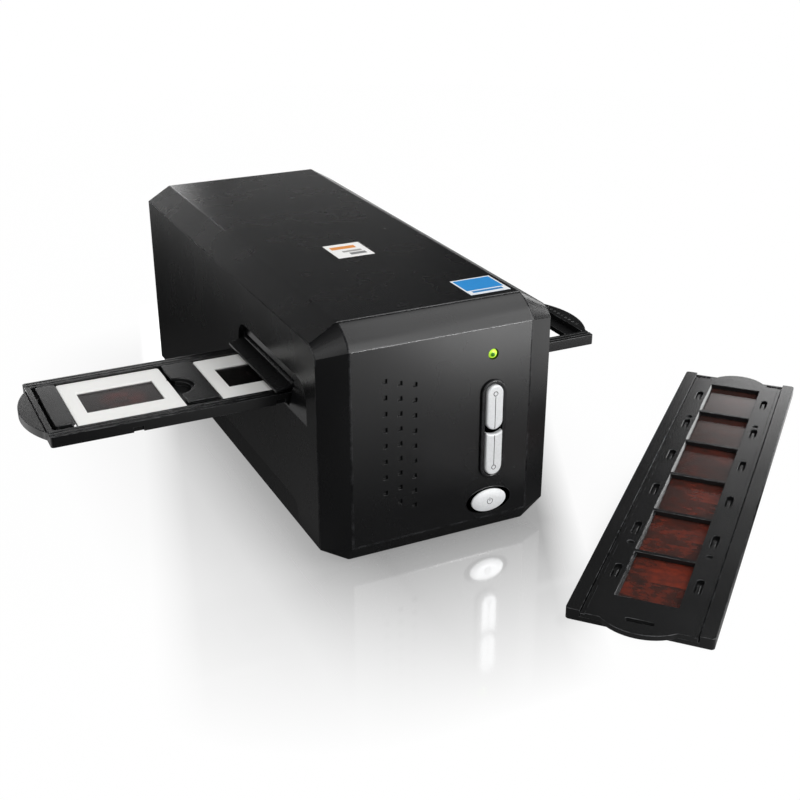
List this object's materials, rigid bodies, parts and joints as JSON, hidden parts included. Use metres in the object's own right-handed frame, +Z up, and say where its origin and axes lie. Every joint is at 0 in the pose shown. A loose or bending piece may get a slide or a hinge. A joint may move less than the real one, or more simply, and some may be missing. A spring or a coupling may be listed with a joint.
{
  "type": "film negative scanner",
  "caption": "Upright desktop film negative scanner with a slide holder that slides through its side slots, a separate hinged film strip holder, push buttons and a status light.",
  "frame": {"origin": "on the desk, under the middle of the scanner's casing", "axes": "+X to the right as seen from the front, along the slide holder; +Y from the front panel to the rear; +Z up"},
  "size_m": [0.451, 0.3974, 0.1186],
  "materials": {
    "casing_black": "fine satin",
    "trim_black": "gloss",
    "holder_black": "satin",
    "foot_rubber": "matte",
    "screw_steel": "zinc plated",
    "button_silver": "brushed",
    "led_green": "clear tinted",
    "circuit_board": "solder mask",
    "component_black": "matte",
    "inner_plastic": "matte",
    "spring_steel": "plain",
    "lamp_white": "matte",
    "diffuser_white": "opal",
    "rod_steel": "ground",
    "motor_steel": "plain",
    "bracket_steel": "zinc plated",
    "socket_shell": "nickel plated",
    "ribbon_grey": "satin",
    "label_white": "paper",
    "label_blue": "satin film",
    "mount_white": "matte",
    "film_dark": "satin film",
    "film_brown": "satin film",
    "bush_brass": "sintered",
    "mirror_face": "front silvered",
    "lens_clear": "coated",
    "sensor_ceramic": "ceramic"
  },
  "bodies": {
    "chassis": {"base_tray": "casing_black", "top_cover": "casing_black", "front_bezel": "casing_black", "rear_panel": "casing_black", "rubber_feet": "foot_rubber", "case_screws": "screw_steel", "button_collar": "trim_black", "power_button_ring": "trim_black", "status_led": "led_green", "button_board": "circuit_board", "tact_switches": "component_black", "film_gate": "inner_plastic", "holder_detent_spring": "spring_steel", "light_housing": "lamp_white", "led_light_bar": "lamp_white", "light_diffuser": "diffuser_white", "guide_rods": "rod_steel", "stepper_motor": "motor_steel", "motor_bracket": "bracket_steel", "home_sensor": "component_black", "mainboard": "circuit_board", "board_chips": "component_black", "usb_socket": "socket_shell", "dc_jack": "component_black", "ribbon_cable": "ribbon_grey", "white_label": "label_white", "blue_label": "label_blue", "door_pins": "rod_steel"},
    "left_door": {"left_dust_door": "casing_black"},
    "right_door": {"right_dust_door": "casing_black"},
    "slide_holder": {"slide_holder_frame": "holder_black", "slide_retainers": "holder_black", "slide_mounts": "mount_white", "slide_films": "film_dark"},
    "carriage": {"scan_carriage": "inner_plastic", "carriage_bushes": "bush_brass", "scan_mirror": "mirror_face", "lens_barrel": "component_black", "lens_glass": "lens_clear", "ccd_board": "circuit_board", "ccd_sensor": "sensor_ceramic", "drive_nut": "bush_brass"},
    "screw": {"lead_screw": "rod_steel"},
    "upper_scan_button": {"upper_button": "button_silver"},
    "lower_scan_button": {"lower_button": "button_silver"},
    "power_switch_button": {"power_button": "button_silver"},
    "strip_holder": {"strip_holder_frame": "holder_black", "strip_hinge_pins": "rod_steel", "film_strip": "film_brown"},
    "strip_lid": {"strip_holder_lid": "holder_black"}
  },
  "joints": [
    {"name": "holder_travel", "type": "slide", "parent": "chassis", "child": "slide_holder", "axis": [-1, 0, 0], "range_m": [-0.1348, 0.0674]},
    {"name": "left_door_hinge", "type": "hinge", "parent": "chassis", "child": "left_door", "pos_m": [-0.0563, -0.06, 0.0792], "axis": [0, 1, 0], "range_deg": [0, 50]},
    {"name": "right_door_hinge", "type": "hinge", "parent": "chassis", "child": "right_door", "pos_m": [0.0563, -0.06, 0.0792], "axis": [0, -1, 0], "range_deg": [0, 50]},
    {"name": "upper_button_press", "type": "slide", "parent": "chassis", "child": "upper_scan_button", "axis": [0, 1, 0], "range_m": [0, 0.0012], "stiffness_N_per_m": 400},
    {"name": "lower_button_press", "type": "slide", "parent": "chassis", "child": "lower_scan_button", "axis": [0, 1, 0], "range_m": [0, 0.0012], "stiffness_N_per_m": 400},
    {"name": "power_button_press", "type": "slide", "parent": "chassis", "child": "power_switch_button", "axis": [0, 1, 0], "range_m": [0, 0.0012], "stiffness_N_per_m": 400},
    {"name": "carriage_travel", "type": "slide", "parent": "chassis", "child": "carriage", "axis": [0, 1, 0], "range_m": [0, 0.028]},
    {"name": "lead_screw_spin", "type": "hinge", "parent": "chassis", "child": "screw", "pos_m": [-0.044, 0.045, 0.03], "axis": [0, 1, 0], "range_deg": [0, 2520]},
    {"name": "strip_holder_lift", "type": "slide", "parent": "chassis", "child": "strip_holder", "axis": [0, 0, 1], "range_m": [0, 0.06]},
    {"name": "strip_lid_hinge", "type": "hinge", "parent": "strip_holder", "child": "strip_lid", "pos_m": [0.25005, -0.05066, 0.0036], "axis": [-0.6691, 0.7431, 0], "range_deg": [0, 100]}
  ],
  "couplings": [
    {"joint": "lead_screw_spin", "follows": "carriage_travel", "rad_per_m": 1570.8}
  ]
}
